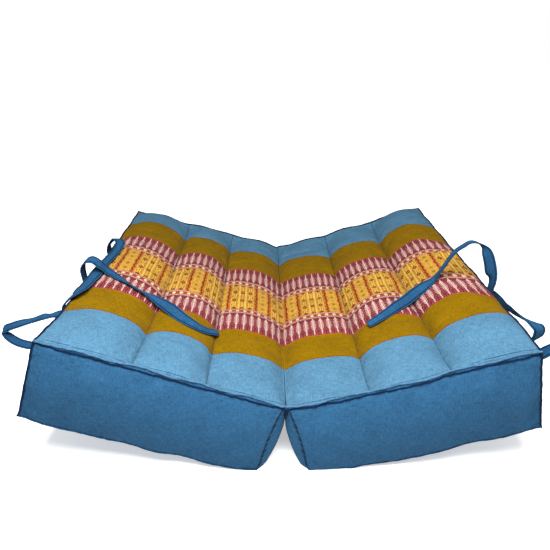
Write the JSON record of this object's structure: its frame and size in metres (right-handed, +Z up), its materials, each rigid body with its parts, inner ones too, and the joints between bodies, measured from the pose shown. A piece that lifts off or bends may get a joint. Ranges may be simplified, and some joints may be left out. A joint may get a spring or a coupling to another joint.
{
  "type": "folding block cushion",
  "caption": "Filled seat cushion of two channelled blocks hinged along their top inner edges, opened into a shallow V, with cloth ties at the outer ends.",
  "frame": {"origin": "on the surface the cushion rests on, under the middle of the hinge and of the whole object", "axes": "+Z up, +Y from front to back along the hinge, +X across to the right block"},
  "size_m": [0.7398, 0.5164, 0.2467],
  "materials": {
    "case_cotton": "plain woven blue cotton with a patterned band across the top",
    "strip_cotton": "plain woven dark blue cotton",
    "tie_cotton": "folded and stitched blue cotton"
  },
  "bodies": {
    "root": {"block_left": "case_cotton", "block_right": "case_cotton", "hinge_strip": "strip_cotton", "tie_left_front": "tie_cotton", "tie_left_back": "tie_cotton", "tie_right_front": "tie_cotton", "tie_right_back": "tie_cotton"}
  },
  "joints": []
}
